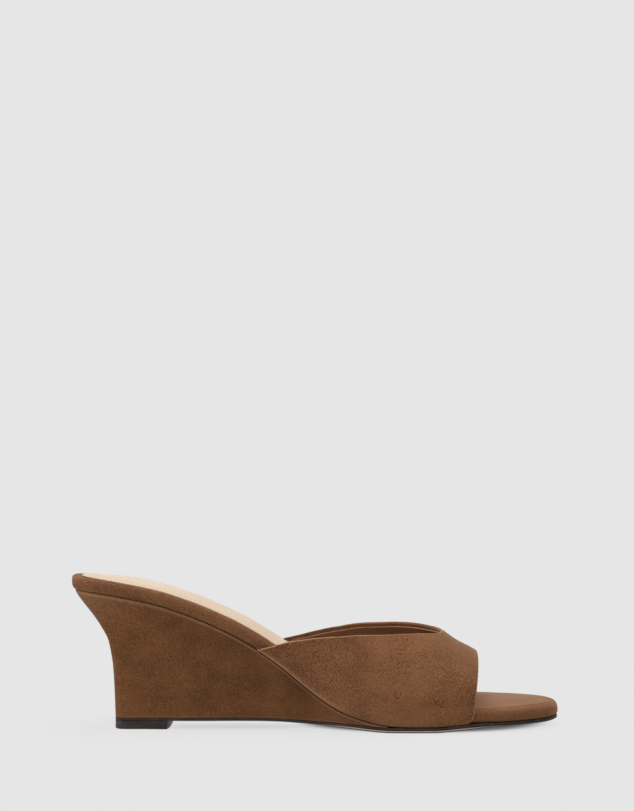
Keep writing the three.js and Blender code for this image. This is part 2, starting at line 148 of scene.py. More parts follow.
# Seam under the footbed, as a share of SEAT_RISE over the outsole
SHANK = table(
    "at rise",
    (0, 0.996),
    (0.06, 0.975),
    (0.119, 0.941),
    (0.183, 0.886),
    (0.246, 0.802),
    (0.31, 0.692),
    (0.373, 0.557),
    (0.437, 0.387),
    (0.483, 0.247),
    (0.521, 0.148),
    (0.559, 0.075),
    (0.602, 0.031),
    (0.64, 0.009),
    (0.68, 0),
)

# Outsole seen from above: 0 is as narrow as the foot of the wedge, 1 as wide as the footbed
SPREAD = table("at full", (0.16, 0), (0.267, 0.38), (0.348, 0.76), (0.428, 0.93), (0.54, 1))

# Ridge of the last over the seam, as a share of INSTEP_RISE
RIDGE = table(
    "at ridge",
    (0.36, 1.08),
    (0.46, 1.05),
    (0.551, 0.99),
    (0.631, 0.94),
    (0.673, 0.881),
    (0.711, 0.808),
    (0.735, 0.752),
    (0.757, 0.693),
    (0.778, 0.628),
    (0.794, 0.581),
    (0.808, 0.548),
    (0.819, 0.524),
    (0.836, 0.484),
)

# Here at is a share of the way up

# Wedge: 0 is the outline of its foot, 1 the outline of the seat
FLARE = table(
    "at out",
    (0, 0),
    (0.23, 0.026),
    (0.43, 0.068),
    (0.53, 0.115),
    (0.63, 0.185),
    (0.72, 0.335),
    (0.81, 0.528),
    (0.91, 0.793),
    (0.96, 0.918),
    (1, 1),
)

# Edge of the footbed: its inset at the heel and at the toe, as a share of FOOTBED
ROLL = table(
    "at heel toe",
    (0, 0.17, 0.14),
    (0.12, 0.07, 0.04),
    (0.3, 0.02, 0),
    (0.6, 0, 0.03),
    (0.8, 0.02, 0.11),
    (0.92, 0.08, 0.25),
    (1, 0.22, 0.5),
)

# Front edge of the upper from the seam to the ridge: its place as a share of LENGTH
TOE_OPENING = table(
    "at forward",
    (0, 0.808),
    (0.05, 0.815),
    (0.22, 0.8205),
    (0.45, 0.8265),
    (0.7, 0.8315),
    (1, 0.8355),
)


def follow(rows, column):
    """Curve through one column of a table, with no overshoot between its rows, read at a place."""
    at = rows["at"]
    value = rows[column]
    span = np.diff(at)
    slope = np.diff(value) / span
    tangent = np.concatenate(([slope[0]], np.zeros(len(at) - 2), [slope[-1]]))
    for i in range(1, len(at) - 1):
        if slope[i - 1] * slope[i] > 0:
            first = 2 * span[i] + span[i - 1]
            second = span[i] + 2 * span[i - 1]
            tangent[i] = (first + second) / (first / slope[i - 1] + second / slope[i])

    def curve(place):
        place = np.clip(place, at[0], at[-1])
        i = np.clip(np.searchsorted(at, place, side="right") - 1, 0, len(span) - 1)
        t = (place - at[i]) / span[i]
        rest = 1 - t
        low = rest**2 * ((1 + 2 * t) * value[i] + t * span[i] * tangent[i])
        high = t**2 * ((3 - 2 * t) * value[i + 1] - rest * span[i] * tangent[i + 1])
        return low + high

    return curve


# Back edge of the upper: its two ends as shares of LENGTH
TOPLINE_BACK = 0.383
TOPLINE_FRONT = 0.767
# On either side it is one Bezier curve of four points: share of the way to the front, share of TOPLINE_RISE
TOPLINE = {
    LATERAL: ((0, 0), (0.25, 0.44), (0.4, 1.17), (1, 0.966)),
    MEDIAL: ((0, -0.01), (0.25, 0.22), (0.38, 1.27), (1, 0.966)),
}
BEZIER_STEPS = 2000


def bezier(points):
    """Bezier curve of four points, read as the height at a distance."""
    t = np.linspace(0, 1, BEZIER_STEPS + 1)[:, None]
    rest = 1 - t
    weights = np.hstack([rest**3, 3 * t * rest**2, 3 * t**2 * rest, t**3])
    distance, height = (weights @ np.array(points, float)).T
    return lambda place: np.interp(place, distance, height)


def along_shoe(rows, column):
    """The same curve read at a place along the shoe."""
    curve = follow(rows, column)
    return lambda x: curve((np.asarray(x, float) - HEEL) / LENGTH)


def mix(low, high, share):
    return low + (high - low) * share


def smooth(x, start, end):
    share = np.clip((x - start) / (end - start), 0, 1)
    return share * share * (3 - 2 * share)


plan_half = {LATERAL: along_shoe(PLAN, "lateral"), MEDIAL: along_shoe(PLAN, "medial")}
heel_lift = along_shoe(GROUND, "heel")
toe_lift = along_shoe(GROUND, "toe")
outsole_share = along_shoe(GROUND, "thick")
shank = along_shoe(SHANK, "rise")
spread = along_shoe(SPREAD, "full")
flare = follow(FLARE, "out")
heel_roll = follow(ROLL, "heel")
toe_roll = follow(ROLL, "toe")
ridge_share = along_shoe(RIDGE, "ridge")
topline = {side: bezier(TOPLINE[side]) for side in (LATERAL, MEDIAL)}
opening = follow(TOE_OPENING, "forward")


def outsole_bottom(x):
    """Level of the outsole's underside: over the tap, on the floor at the ball, sprung at the toe."""
    return (TAP_THICK + GAP) * heel_lift(x) + TOE_SPRING * toe_lift(x)


def outsole_top(x):
    return outsole_bottom(x) + OUTSOLE * outsole_share(x)


def seam(x):
    """Level of the line where the footbed meets what carries it."""
    return outsole_top(x) + GAP + SEAT_RISE * shank(x)


def steepness(x):
    """How much longer an upright measure is than one square to the slope of the footbed."""
    step = LENGTH / FINE_STEPS
    back = np.maximum(x - step, HEEL)
    front = np.minimum(x + step, TOE)
    return np.hypot(1, (seam(front) - seam(back)) / (front - back))


TIP = HEEL + TOPLINE_BACK * LENGTH  # back tips of the upper
CREST = HEEL + TOPLINE_FRONT * LENGTH  # back edge of the upper at its ridge
FRONT = HEEL + TOE_OPENING["forward"][0] * LENGTH  # front corners of the upper
COVER_FADE = LENGTH / 14  # length over which widths change at the upper's ends


def covered(x):
    """1 where the upper is, 0 behind and in front of it."""
    return smooth(x, TIP, TIP + COVER_FADE) * (1 - smooth(x, FRONT, FRONT + COVER_FADE))


def toeward(x):
    """1 on the bare toe end, 0 from the upper back."""
    return smooth(x, FRONT, FRONT + 1.5 * COVER_FADE)


def shankward(x):
    """1 on the shank, 0 under most of the upper."""
    return 1 - smooth(x, TIP + COVER_FADE, TIP + 4 * COVER_FADE)


def midline(x):
    """Middle of the shoe seen from above: the toe leans to the inner side."""
    return CREST_SHIFT * smooth(x, FRONT - COVER_FADE, TOE + TOE_ROUND)


def round_end(distance, length, power):
    """Share of the full width at a distance from a superellipse end."""
    short = np.clip(1 - distance / length, 0, 1)
    return (1 - short**power) ** (1 / power)


def plan(back, front, half, heel_round=0.0, toe_round=0.0, heel_power=HEEL_POWER):
    """Outline seen from above: a function of the share along it, the side and the inset."""

    def outline(t, side, inset):
        x = mix(back, front, t)
        roundness = np.ones_like(x)
        if heel_round > 0:
            roundness = roundness * round_end(x - back, heel_round, heel_power)
        if toe_round > 0:
            roundness = roundness * round_end(front - x, toe_round, TOE_POWER)
        heel_inset = inset if heel_round > 0 else 0
        toe_inset = inset if toe_round > 0 else 0
        y = midline(x) + side * (half(x, side) - inset) * roundness
        return mix(back + heel_inset, front - toe_inset, t), y

    return outline


def stations(length, heel_round, toe_round, pitch=1.6, turns=26):
    """Shares of the length where a plan is cut, closer together at a round end."""
    quarter = 1 - np.cos(np.linspace(0, math.pi / 2, turns, endpoint=False))
    count = max(1, round((length - heel_round - toe_round) / pitch))
    parts = [np.linspace(heel_round, length - toe_round, count + 1)]
    if heel_round > 0:
        parts.insert(0, heel_round * quarter)
    if toe_round > 0:
        parts.append(length - toe_round * quarter[::-1])
    return np.concatenate(parts) / length


WELD = 1e-6  # points closer than this become one, in metres


def make_mesh(name, grids, materials):
    """Mesh from grids of points. Each grid is (points, True for faces as wound, material of its faces)."""
    vertices = []
    faces = []
    slots = []
    start = 0
    for points, outward, slot_index in grids:
        rows, columns = points.shape[:2]
        vertices.append(points.reshape(-1, 3) * MM)
        index = start + np.arange(rows * columns).reshape(rows, columns)
        quads = np.stack([index[:-1, :-1], index[1:, :-1], index[1:, 1:], index[:-1, 1:]], -1)
        quads = quads if outward else quads[..., ::-1]
        faces.append(quads.reshape(-1, 4))
        slots.append(np.broadcast_to(slot_index, (rows - 1, columns - 1)).ravel())
        start += rows * columns
    mesh = bpy.data.meshes.new(name)
    mesh.from_pydata(np.concatenate(vertices).tolist(), [], np.concatenate(faces).tolist())
    mesh.polygons.foreach_set("material_index", np.concatenate(slots).astype(np.int32))
    shape = bmesh.new()
    shape.from_mesh(mesh)
    bmesh.ops.remove_doubles(shape, verts=shape.verts, dist=WELD)
    bmesh.ops.dissolve_degenerate(shape, edges=shape.edges, dist=WELD)
    shape.to_mesh(mesh)
    shape.free()
    mesh.polygons.foreach_set("use_smooth", [True] * len(mesh.polygons))
    for material in materials:
        mesh.materials.append(material)
    piece = bpy.data.objects.new(name, mesh)
    bpy.context.scene.collection.objects.link(piece)
    return piece


def plate_grids(place, levels, cuts, across=24):
    """Grids of a stacked plate: place(t, share, level) gives points, the end levels are filled in."""
    shares = np.linspace(0, 1, across + 1)
    inner = shares[1:-1]
    front_end = np.full(len(inner), cuts[-1])
    back_end = np.full(len(inner), cuts[0])
    border_t = np.concatenate((cuts, front_end, cuts[::-1], back_end))
    border_share = np.concatenate((np.zeros(len(cuts)), inner, np.ones(len(cuts)), inner[::-1]))
    border_t = np.append(border_t, border_t[0])
    border_share = np.append(border_share, border_share[0])
    sides = np.stack([place(border_t, border_share, level) for level in levels])
    grid_t, grid_share = np.meshgrid(cuts, shares, indexing="ij")
    bottom = place(grid_t.ravel(), grid_share.ravel(), levels[0]).reshape(len(cuts), across + 1, 3)
    top = place(grid_t.ravel(), grid_share.ravel(), levels[-1]).reshape(len(cuts), across + 1, 3)
    return [(sides, False, 0), (bottom, False, 0), (top, True, 0)]


def cross(outline, t, share, inset, height):
    """Points of a plan at shares of the way across it, at a height."""
    x, lateral_y = outline(t, LATERAL, inset)
    medial_y = outline(t, MEDIAL, inset)[1]
    fullness = (medial_y - lateral_y) / (plan_half[LATERAL](x) + plan_half[MEDIAL](x))
    swell = 4 * share * (1 - share) * np.minimum(1, fullness)
    y = mix(lateral_y, medial_y, share)
    return np.stack([x, y, height(x, y, swell)], -1)


def bed_half(x, side):
    return plan_half[side](x)


def seat_half(x, side):
    """Top of the wedge: inside the footbed behind the upper, out to the upper's face under it."""
    return bed_half(x, side) + mix(-SEAT_LEDGE, WALL - GAP, smooth(x, TIP - WIDEN_BACK, TIP + WIDEN_FRONT))


def tread_half(x, side):
    """Foot of the wedge and outsole."""
    full = bed_half(x, side) + mix(-SEAT_LEDGE, WALL - 2 * GAP, covered(x))
    return mix(BASE_WIDTH / 2, full, spread(x))


def lean(x, y):
    """Drop of the seat towards its inner edge."""
    across = np.clip((y - midline(x)) / plan_half[MEDIAL](x), 0, 1)
    deep = mix(HEEL_LEAN, SEAT_LEAN, smooth(x, HEEL, HEEL + HEEL_LEAN_FADE))
    return deep * across**2 * (1 - smooth(x, TIP, TIP + 2 * COVER_FADE))


def bed_top(x, y, swell):
    """Face of the footbed: dished at the seat, crowned at the toes."""
    crown = mix(-SEAT_DISH, TOE_CROWN, smooth(x, HEEL, TOE))
    return seam(x) + FOOTBED * steepness(x) + crown * swell - lean(x, y)


# Materials


def colour(red, green, blue):
    """Linear colour from 0 to 255 display values."""

    def linear(value):
        share = value / 255
        return share / 12.92 if share <= 0.04045 else ((share + 0.055) / 1.055) ** 2.4

    return (linear(red), linear(green), linear(blue), 1.0)


class Shader:
    """A new material and short ways to add nodes to it."""

    def __init__(self, name):
        self.material = bpy.data.materials.new(name)
        self.material.use_nodes = True
        self.tree = self.material.node_tree
        self.surface = self.tree.nodes["Principled BSDF"]
        self.place = self.tree.nodes.new("ShaderNodeTexCoord").outputs["Object"]

    def set(self, **values):
        """Plain values of the surface, with an underscore for a space in a name."""
        for name, value in values.items():
            self.surface.inputs[name.replace("_", " ")].default_value = value

    def feed(self, sockets, values):
        """Link each value that is an output, and set each that is a number or a colour."""
        for socket, value in zip(sockets, values):
            if isinstance(value, bpy.types.NodeSocket):
                self.tree.links.new(value, socket)
            else:
                socket.default_value = value

    def noise(self, pitch, detail=2.0, roughness=0.5, stretch=(1, 1, 1)):
        """Noise with features about pitch millimetres wide."""
        mapping = self.tree.nodes.new("ShaderNodeMapping")
        mapping.inputs["Scale"].default_value = stretch
        self.tree.links.new(self.place, mapping.inputs["Vector"])
        texture = self.tree.nodes.new("ShaderNodeTexNoise")
        texture.inputs["Scale"].default_value = 1 / (pitch * MM)
        texture.inputs["Detail"].default_value = detail
        texture.inputs["Roughness"].default_value = roughness
        self.tree.links.new(mapping.outputs["Vector"], texture.inputs["Vector"])
        return texture.outputs["Fac"]

    def ramp(self, value, low, high, start=0.0, end=1.0):
        """Value spread from start to end where it goes from low to high."""
        node = self.tree.nodes.new("ShaderNodeMapRange")
        node.inputs["From Min"].default_value = low
        node.inputs["From Max"].default_value = high
        node.inputs["To Min"].default_value = start
        node.inputs["To Max"].default_value = end
        self.tree.links.new(value, node.inputs["Value"])
        return node.outputs["Result"]

    def blend(self, share, first, second):
        node = self.tree.nodes.new("ShaderNodeMix")
        node.data_type = "RGBA"
        self.feed((node.inputs[0], node.inputs[6], node.inputs[7]), (share, first, second))
        return node.outputs[2]

    def math(self, kind, first, second):
        node = self.tree.nodes.new("ShaderNodeMath")
        node.operation = kind
        self.feed(node.inputs, (first, second))
        return node.outputs[0]

    def attribute(self, name):
        node = self.tree.nodes.new("ShaderNodeAttribute")
        node.attribute_name = name
        return node.outputs["Fac"]

    def part(self, vector, axis):
        node = self.tree.nodes.new("ShaderNodeSeparateXYZ")
        self.tree.links.new(vector, node.inputs[0])
        return node.outputs[axis]

    def along(self, axis, low, high, start, end):
        """Value going from start to end between two places in millimetres along an axis."""
        return self.ramp(self.part(self.place, axis), low * MM, high * MM, start, end)

    def link(self, value, name):
        self.tree.links.new(value, self.surface.inputs[name])

    def bump(self, height, depth, strength=1.0):
        """Bump of a height from 0 to 1, depth in millimetres."""
        node = self.tree.nodes.new("ShaderNodeBump")
        node.inputs["Strength"].default_value = strength
        node.inputs["Distance"].default_value = depth * MM
        self.tree.links.new(height, node.inputs["Height"])
        self.link(node.outputs["Normal"], "Normal")


WARM_SHEEN = colour(222, 182, 146)
PALE_SHEEN = colour(226, 204, 184)
# Pale nap of the painted highlights along edges and on the footbed's side
PAINTED_HIGHLIGHT = colour(172, 132, 100)


def suede(name, dark, light, sheen=0.3, grain=1.0, tint=WARM_SHEEN, calm=None, painted_shading=()):
    """Brushed nap: fine speckle, soft patches where the nap lies another way, painted highlights where the
    mesh marks them, painted shading along given axes.
    """
    shader = Shader(name)
    speckle = shader.noise(0.5, detail=2, roughness=0.6)
    grainy = shader.noise(1.1, detail=2, roughness=0.55)
    patch = shader.noise(14, detail=3, roughness=0.55, stretch=(1, 1, 1.5))
    cloud = shader.noise(48, detail=1)
    combed = shader.ramp(shader.noise(24, detail=1), 0.38, 0.62, 0.65 * grain, 1.15 * grain)
    fine = shader.math("ADD", shader.ramp(speckle, 0.4, 0.72, -0.32, 1.15),
                       shader.ramp(grainy, 0.3, 0.7, -0.08, 0.08))
    broad = shader.math("ADD", shader.ramp(patch, 0.3, 0.7, 0.3, 0.7),
                        shader.ramp(cloud, 0.35, 0.65, -0.07, 0.07))
    if calm:
        combed = shader.math("MULTIPLY", combed, shader.along(*calm))
    # Painted shading: the nap made lighter or darker along an axis, where the light falls more or less
    for change in painted_shading:
        broad = shader.math("ADD", broad, shader.along(*change))
    share = shader.math("ADD", shader.math("MULTIPLY", fine, combed), broad)
    nap = shader.blend(share, dark, light)
    # Painted highlight: where the mesh marks it, the nap blends towards a pale colour, broken up by the
    # speckle
    highlight_share = shader.math("MULTIPLY", shader.attribute("paint_light"), shader.ramp(speckle, 0.3, 0.7, 0.75, 1.0))
    shader.link(shader.blend(highlight_share, nap, PAINTED_HIGHLIGHT), "Base Color")
    shader.set(Roughness=0.9, Specular_IOR_Level=0.15, Sheen_Weight=sheen, Sheen_Roughness=0.4,
               Sheen_Tint=tint)
    shader.bump(shader.math("ADD", speckle, shader.math("MULTIPLY", grainy, 0.5)), 0.15, 0.5)
    return shader.material


def sock_leather():
    """Smooth beige lining leather with a faint grain, a warm unevenness and painted shade towards the outer
    side.
    """
    shader = Shader("sock_leather")
    cloud = shader.noise(22, detail=2)
    grain = shader.noise(0.7, detail=3, roughness=0.6)
    tone = shader.math("ADD", shader.ramp(cloud, 0.35, 0.65, 0.2, 0.7),
                       shader.ramp(grain, 0.3, 0.7, -0.15, 0.15))
    leather = shader.blend(tone, colour(188, 167, 144), colour(197, 180, 163))
    # Painted shade: darker, warmer beige towards the outer side of the footbed
    outer = shader.along("Y", -30, 24, 0.75, 0.0)
    shader.link(shader.blend(outer, leather, colour(184, 156, 127)), "Base Color")
    shader.link(shader.ramp(grain, 0.3, 0.7, 0.5, 0.62), "Roughness")
    shader.set(Specular_IOR_Level=0.35)
    shader.bump(grain, 0.05, 0.5)
    return shader.material


def lining_leather():
    """Brown lining inside the upper."""
    shader = Shader("lining_leather")
    grain = shader.noise(0.8, detail=3)
    cloud = shader.noise(14, detail=2)
    tone = shader.math("ADD", shader.ramp(cloud, 0.3, 0.7, 0.3, 0.7),
                       shader.ramp(grain, 0.3, 0.7, -0.2, 0.2))
    shader.link(shader.blend(tone, colour(92, 58, 32), colour(118, 78, 48)), "Base Color")
    shader.set(Roughness=0.7, Specular_IOR_Level=0.3)
    shader.bump(grain, 0.06, 0.6)
    return shader.material


def sole_material(name, dark, light, roughness):
    """Dense dark sole material with faint scuffs along its edge."""
    shader = Shader(name)
    patchiness = shader.noise(2.2, detail=4, roughness=0.65, stretch=(0.25, 1, 1))
    shader.link(shader.blend(shader.ramp(patchiness, 0.42, 0.72), dark, light), "Base Color")
    shader.link(shader.ramp(patchiness, 0.3, 0.7, roughness - 0.06, roughness + 0.08), "Roughness")
    shader.set(Specular_IOR_Level=0.25)
    shader.bump(patchiness, 0.05, 0.5)
    return shader.material


# calm and the painted shading hold an axis, two places in millimetres and the values there
# Painted shade on the band: darker towards its back tips and towards its front edge
UPPER_SUEDE = suede("upper_suede", colour(87, 54, 32), colour(134, 91, 60),
                    calm=("Z", 5, 24, 0.5, 1.1),
                    painted_shading=[("X", -22, 34, -0.52, -0.03), ("X", 48, 74, 0.0, -0.3)])
# Paler suede round the outer corner of the band's edges: a painted highlight along the rim
RIM_HIGHLIGHT_SUEDE = suede("rim_highlight_suede", colour(122, 86, 60), colour(160, 120, 89))
# Darker and more saturated than the band's suede: painted shade on the wedge's upright sides; its painted
# shading darkens it towards the front and lightens it low down
WEDGE_SUEDE = suede("wedge_suede", colour(74, 44, 23), colour(116, 76, 46), sheen=0.1,
                    calm=("X", -88, -25, 1.2, 0.5),
                    painted_shading=[("X", -85, -10, -0.04, -0.32), ("Z", 6, 20, 0.1, 0.0)])
# Painted shade on the footbed's edge: darker towards the heel
BED_SUEDE = suede("bed_suede", colour(82, 50, 29), colour(125, 84, 54), sheen=0.25, grain=0.95,
                  painted_shading=[("X", -118, -60, -0.3, -0.03)])
TOE_SUEDE = suede("toe_suede", colour(90, 58, 36), colour(136, 95, 64), sheen=0.36, grain=0.6,
                  tint=PALE_SHEEN)
SOCK_LEATHER = sock_leather()
LINING = lining_leather()
SOLE = sole_material("sole", colour(42, 35, 32), colour(70, 60, 55), 0.58)
TAP = sole_material("tap", colour(40, 33, 32), colour(58, 48, 46), 0.5)


def raw_edge():
    """Cut edge of the lining, paler than its face: partly the bare leather's own colour, partly a painted
    highlight along the edge.
    """
    shader = Shader("raw_edge")
    grain = shader.noise(0.8, detail=2)
    pale = shader.blend(shader.ramp(grain, 0.3, 0.7), colour(178, 140, 110), colour(214, 178, 146))
    shader.link(pale, "Base Color")
    shader.set(Roughness=0.8, Specular_IOR_Level=0.2)
    return shader.material


def bevel_floor_reflection():
    """Slanted lower edge of the sole: a painted reflection of the pale floor along the ball, dark towards
    both ends.
    """
    shader = Shader("bevel_floor_reflection")
    rise = shader.along("X", 0, 16, 0.0, 1.0)
    fall = shader.along("X", 70, 90, 1.0, 0.0)
    patchiness = shader.ramp(shader.noise(3.0, detail=3), 0.3, 0.7, 0.7, 1.0)
    # Painted reflection of the floor on the bevel, broken up by noise
    share = shader.math("MULTIPLY", shader.math("MULTIPLY", rise, fall), patchiness)
    shader.link(shader.blend(share, colour(50, 42, 38), colour(178, 158, 136)), "Base Color")
    shader.set(Roughness=0.6, Specular_IOR_Level=0.3)
    return shader.material


RAW_EDGE = raw_edge()
BEVEL_REFLECTION = bevel_floor_reflection()


def paint_light(piece, amount):
    """Where a painted highlight goes: amount gives 0 to 1 for rows of points."""
    mesh = piece.data
    points = np.empty(len(mesh.vertices) * 3)
    mesh.vertices.foreach_get("co", points)
    values = np.clip(amount(*(points.reshape(-1, 3) / MM).T), 0, 1)
    mesh.attributes.new("paint_light", "FLOAT", "POINT").data.foreach_set("value", values.astype(np.float32))


def band(distance, middle, width):
    """Soft band: 1 at the middle, fading to both sides."""
    return np.exp(-(((distance - middle) / width) ** 2))


def dress(piece, node, body="root"):
    """The piece stands for a node: it hangs under the body's empty and hides the node's own part."""
    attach(piece, body)
    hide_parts(node)


# Footbed: insole board wrapped in suede
def footbed():
    outline = plan(HEEL, TOE, bed_half, HEEL_ROUND, TOE_ROUND)
    levels = 0.5 - 0.5 * np.cos(np.linspace(0, math.pi, 19))

    def place(t, share, level):
        along = mix(HEEL, TOE, t)
        inset = FOOTBED * mix(heel_roll(level), toe_roll(level), toeward(along))

        def height(x, y, swell):
            if level >= 1:
                return bed_top(x, y, swell)
            return seam(x) + level * (FOOTBED * steepness(x) - lean(x, y))

        return cross(outline, t, share, inset, height)

    # Painted sheen: a faint pale band along the upper part of the footbed's edge
    def painted_light_share(x, y, z):
        level = (z - seam(x)) / (FOOTBED * steepness(x))
        return 0.1 * band(level, 0.78, 0.2)

    cuts = stations(LENGTH, HEEL_ROUND, TOE_ROUND)
    piece = make_mesh("footbed_wrap", plate_grids(place, levels, cuts), [BED_SUEDE])
    paint_light(piece, painted_light_share)
    dress(piece, "footbed")


# Linings on the footbed: leather behind the split, suede in front of it
SOCK_SPLIT = HEEL + 0.7 * LENGTH
SOCK_MARGIN = 0.1  # bare rim of the footbed's flat top around the lining
SOCK_SINK = 0.02  # how far the lining reaches into the footbed
SKIVE = 0.25  # thickness left at the lining's edge, as a share


def sock(name, node, back, front, thick, edge, material):
    """Lining glued on the footbed, skived thin along its edge."""
    heel_round = HEEL_ROUND if back < SOCK_SPLIT else 0.0
    toe_round = TOE_ROUND if front >= TOE else 0.0
    outline = plan(back, front, bed_half, heel_round, toe_round)
    angles = np.linspace(0, math.pi / 2, 7)
    rounding = [(0.0, 0.0)] + [(mix(SKIVE, 1, math.sin(a)), edge * (1 - math.cos(a))) for a in angles]

    def place(t, share, step):
        level, pull = step
        along = mix(back, front, t)
        rim = FOOTBED * mix(heel_roll(1.0), toe_roll(1.0), toeward(along))
        inset = rim + SOCK_MARGIN + pull

        def height(x, y, swell):
            return bed_top(x, y, swell) + (level * thick - SOCK_SINK) * steepness(x)

        return cross(outline, t, share, inset, height)

    cuts = stations(front - back, heel_round, toe_round)
    piece = make_mesh(name, plate_grids(place, rounding, cuts, 40), [material])
    dress(piece, node)


# Wedge: hollowed at the back, flared to the seat, feathered at the ball
WEDGE_FRONT = HEEL + 0.645 * LENGTH
EDGE_EASE = 0.9  # rounding of the cover's upper and lower edges
SEAM_SLOT = 0.25  # shadow line under the footbed
FEATHER = 0.02  # least height of the cover


def flat(x, y, swell):
    return 0 * x


def wedge():
    foot = plan(BASE_BACK, WEDGE_FRONT, tread_half, BASE_ROUND, heel_power=BASE_POWER)
    seat = plan(HEEL + SEAT_OVERHANG, WEDGE_FRONT, seat_half, HEEL_ROUND)
    share_along = np.linspace(0, 1, 150)
    cuts = share_along**2 * (2 - share_along)
    rounding = EDGE_EASE * (1 - np.sin(np.linspace(0, math.pi / 2, 5)))
    body = np.linspace(0, 1, 46)
    levels = [(0.0, pull) for pull in rounding[:-1]] + [(level, 0.0) for level in body]
    levels += [(1.0, pull) for pull in rounding[::-1][1:]]

    def place(t, share, edge):
        level, pull = edge
        low = cross(foot, t, share, pull, flat)
        high = cross(seat, t, share, pull, flat)
        x = mix(low[:, 0], high[:, 0], flare(level))
        y = mix(low[:, 1], high[:, 1], flare(level))
        ease = EDGE_EASE - math.sqrt(max(0.0, EDGE_EASE**2 - (EDGE_EASE - pull) ** 2))
        bottom = outsole_top(x)
        top = seam(x) - SEAM_SLOT
        room = np.maximum(top - bottom, FEATHER)
        soft = np.minimum(EDGE_EASE, 0.4 * room)
        if level <= 0:
            z = bottom + soft * ease / EDGE_EASE
        elif level >= 1:
            z = top - soft * ease / EDGE_EASE
        else:
            z = mix(bottom + soft, top - soft, level)
        return np.stack([x, y, z], -1)

    # Painted highlights: a thin pale line under the seam, painted light on the flare at the back of the
    # heel, and a paler line just over the outsole
    def painted_light_share(x, y, z):
        below = seam(x) - z
        above = z - outsole_top(x)
        top_edge = 0.3 * band(below, 1.0, 0.5)
        low_edge = 0.15 * band(above, 0.4, 0.5)
        heel_flare = 0.12 * band(below, 0.0, 11) * (1 - smooth(x, HEEL + 12, HEEL + 36))
        return top_edge + heel_flare + low_edge

    piece = make_mesh("wedge_cover", plate_grids(place, levels, cuts, 6), [WEDGE_SUEDE])
    paint_light(piece, painted_light_share)
    dress(piece, "wedge")


# Outsole: thin, with a groove along its edge and a bevel below, both shallower over the tap
EDGE_FADE = 60.0  # length in front of the tap over which its edge gets its full depth


def outsole():
    front = TOE - GAP

    def half(x, side):
        return tread_half(x, side) - GAP * toeward(x)

    outline = plan(BASE_BACK, front, half, BASE_ROUND, TOE_ROUND, BASE_POWER)
    # Section of the edge as (share of the thickness, inset)
    bevel = [(0.0, 1.5), (0.12, 0.95), (0.24, 0.5), (0.36, 0.16), (0.42, 0.03), (0.46, 0.0)]
    groove = [(0.5, 0.12), (0.53, 0.35), (0.62, 0.38), (0.66, 0.12)]
    land = [(0.7, 0.02), (0.84, 0.0), (0.9, 0.08), (0.96, 0.25), (1.0, 0.5)]
    levels = bevel + groove + land

    def place(t, share, edge):
        level, inset = edge
        along = BASE_BACK + (front - BASE_BACK) * t
        depth = inset * mix(0.25, 1, smooth(along, TAP_FRONT, TAP_FRONT + EDGE_FADE))

        def height(x, y, swell):
            return mix(outsole_bottom(x), outsole_top(x), level)

        return cross(outline, t, share, depth, height)

    cuts = stations(front - BASE_BACK, BASE_ROUND, TOE_ROUND)
    sides, bottom, top = plate_grids(place, levels, cuts, 12)
    slots = np.zeros((len(levels) - 1, 1), int)
    # The slanted rows of the bevel take the painted floor reflection
    slots[2:len(bevel) - 1] = 1
    piece = make_mesh("sole_edge", [(sides[0], sides[1], slots), bottom, top], [SOLE, BEVEL_REFLECTION])
    dress(piece, "outsole")


TAP_CORNER = 2.0  # rounding of the tap's front corners


def heel_tap():
    outline = plan(BASE_BACK, TAP_FRONT, tread_half, BASE_ROUND, TAP_CORNER, BASE_POWER)
    levels = [(0.0, 0.2), (0.02, 0.06), (0.05, 0.0), (0.97, 0.0), (1.0, 0.05)]

    def place(t, share, edge):
        level, inset = edge
        return cross(outline, t, share, inset, lambda x, y, swell: 0 * x + level * (TAP_THICK + GAP))

    cuts = stations(TAP_FRONT - BASE_BACK, BASE_ROUND, TAP_CORNER)
    piece = make_mesh("heel_tap_block", plate_grids(place, levels, cuts, 12), [TAP])
    dress(piece, "heel_tap")


# Upper: the band, its folded edges and its lining
LOW_TURN = 0.2  # share of the way from the seam to the ridge that the belt takes
HEM_ROUND = 0.3  # rounding of the lower edge
LIP = 0.75  # how far the hem's soft roll stands out
LIP_LOW = 1.0  # level of its crest over the seam at the tip
LIP_HIGH = 2.6  # and where it fades out
LIP_FADE = HEEL + 0.57 * LENGTH
LIP_TAIL = 8.0  # it is gone this far in front of that place
TIP_EASE = 28.0  # length of the flat tip
TIP_TUCK = 0.4  # share of the tuck at the tip
FILL_FULL = 20.0  # the room behind the tip is filled up to here
FILL_END = 40.0  # and no more from here on


def hem_lip(x, height):
    """Soft roll of the hem over the seam, slim at the tip and broad where it fades out."""
    along = np.clip((x - TIP) / (LIP_FADE - TIP), 0, 1)
    share = height / mix(LIP_LOW, LIP_HIGH, along)
    fade = 1 - smooth(x, mix(TIP, LIP_FADE, 0.6), LIP_FADE + LIP_TAIL)
    return LIP * fade * share**2 * np.exp(1 - share**2)


def tip_ease(x):
    return smooth(x, TIP, TIP + TIP_EASE)


def bulge(x, climb):
    """How far the band's low border stands out, none at its tip."""
    share = np.clip(climb / LOW_TURN, 0, 1)
    swell = EDGE_SWELL * shankward(x) * np.sin(math.pi * share**SWELL_SKEW) ** 2
    return tip_ease(x) * (swell + hem_lip(x, BELT * share) * (climb < LOW_TURN))


def tuck(x):
    return TUCK * mix(TIP_TUCK, 1, tip_ease(x))


def stand_off(x, climb):
    """Room between the band and the footbed's rolled corner, filled near the tip."""
    level = BELT * climb / LOW_TURN / (FOOTBED * steepness(x))
    roll = np.where(level < 0.5, FOOTBED * heel_roll(np.clip(level, 0, 0.5)), 0)
    room = roll - tuck(x) * np.maximum(0, 1 - level / BED_BULGE) ** 2
    return bulge(x, climb) + np.maximum(0, room) * (1 - smooth(x, TIP + FILL_FULL, TIP + FILL_END))


